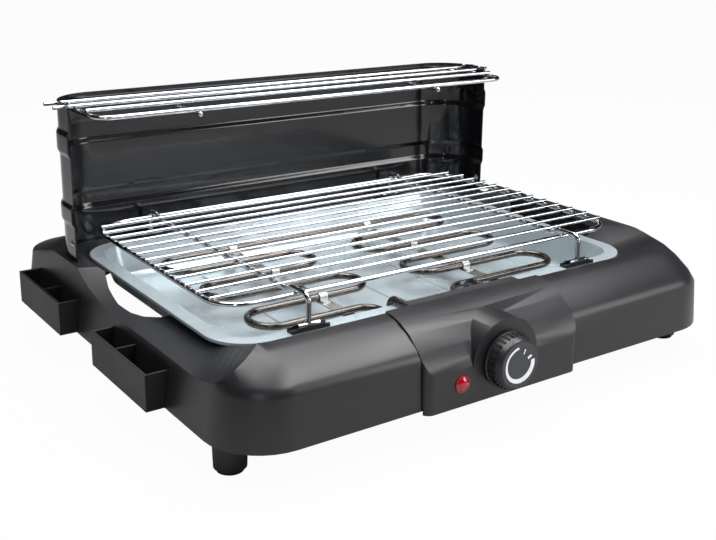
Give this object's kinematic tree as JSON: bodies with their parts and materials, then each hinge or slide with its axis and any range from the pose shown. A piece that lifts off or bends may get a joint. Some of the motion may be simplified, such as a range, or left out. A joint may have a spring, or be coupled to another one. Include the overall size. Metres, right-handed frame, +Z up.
{
  "type": "electric table grill",
  "caption": "Electric table grill with lift-out drip pan, plug-in heater unit with control knob, welded wire grill rack, three-sided windshield and a warming rack across its top.",
  "frame": {"origin": "middle of the outline on the table the rubber feet stand on", "axes": "+X to the right seen from the knob side, +Y from the knob to the windshield, +Z up"},
  "size_m": [0.551, 0.498, 0.231],
  "materials": {
    "housing_plastic": "dark anthracite, fine satin grain",
    "black_plastic": "matt black, fine grain",
    "foot_rubber": "matt",
    "zinc_steel": "zinc plated",
    "pan_coating": "pale silver-blue, glossy coating on sheet steel",
    "element_steel": "dark bronze-grey sheathed tube, satin",
    "brass": "plain",
    "ivory_resin": "heat-resistant resin",
    "knob_plastic": "black, satin",
    "dial_plastic": "dark grey, satin gloss",
    "white_print": "white print",
    "lamp_red": "clear red lens",
    "chrome_wire": "bright chromed wire",
    "black_enamel": "glossy black enamel"
  },
  "bodies": {
    "housing": {"housing_shell": "housing_plastic", "leg_front_left": "black_plastic", "leg_front_right": "black_plastic", "leg_rear_left": "black_plastic", "leg_rear_right": "black_plastic", "foot_pads": "foot_rubber", "leg_screws": "zinc_steel", "socket_left_front": "black_plastic", "socket_left_rear": "black_plastic", "socket_right_front": "black_plastic", "socket_right_rear": "black_plastic"},
    "pan": {"drip_pan": "pan_coating", "rest_front_left": "black_plastic", "rest_front_right": "black_plastic", "rest_rear_left": "black_plastic", "rest_rear_right": "black_plastic"},
    "heater": {"heating_element": "element_steel", "element_strip_left": "zinc_steel", "element_strip_right": "zinc_steel", "element_clips": "zinc_steel", "terminal_plate": "zinc_steel", "terminal_pins": "brass", "box_cover": "housing_plastic", "box_base": "black_plastic", "box_screws": "zinc_steel", "thermostat_body": "ivory_resin", "thermostat_nut": "zinc_steel", "terminal_block": "ivory_resin", "lamp_lens": "lamp_red", "lamp_holder": "ivory_resin"},
    "knob": {"knob_body": "knob_plastic", "knob_dial": "dial_plastic", "knob_ring": "white_print", "dial_scale": "white_print", "thermostat_shaft": "zinc_steel"},
    "grill_rack": {"rack_frame": "chrome_wire", "rack_bars": "chrome_wire", "rack_leg_wire_left": "chrome_wire", "rack_leg_wire_right": "chrome_wire"},
    "windshield": {"windshield_sheet": "black_enamel", "windshield_studs": "zinc_steel"},
    "warming_rack": {"warming_frame": "chrome_wire", "warming_bars": "chrome_wire", "warming_ties": "chrome_wire"}
  },
  "joints": [
    {"name": "pan_lift", "type": "slide", "parent": "housing", "child": "pan", "axis": [0, 0, 1], "range_m": [0, 0.05]},
    {"name": "heater_lift", "type": "slide", "parent": "pan", "child": "heater", "axis": [0, 0, 1], "range_m": [0, 0.06]},
    {"name": "rack_lift", "type": "slide", "parent": "heater", "child": "grill_rack", "axis": [0, 0, 1], "range_m": [0, 0.08]},
    {"name": "knob_turn", "type": "hinge", "parent": "heater", "child": "knob", "pos_m": [-0.0175, -0.232, 0.055], "axis": [0, 1, 0], "range_deg": [0, 270]},
    {"name": "windshield_lift", "type": "slide", "parent": "housing", "child": "windshield", "axis": [0, 0, 1], "range_m": [0, 0.1]},
    {"name": "warming_rack_lift", "type": "slide", "parent": "windshield", "child": "warming_rack", "axis": [0, 0, 1], "range_m": [0, 0.05]}
  ]
}
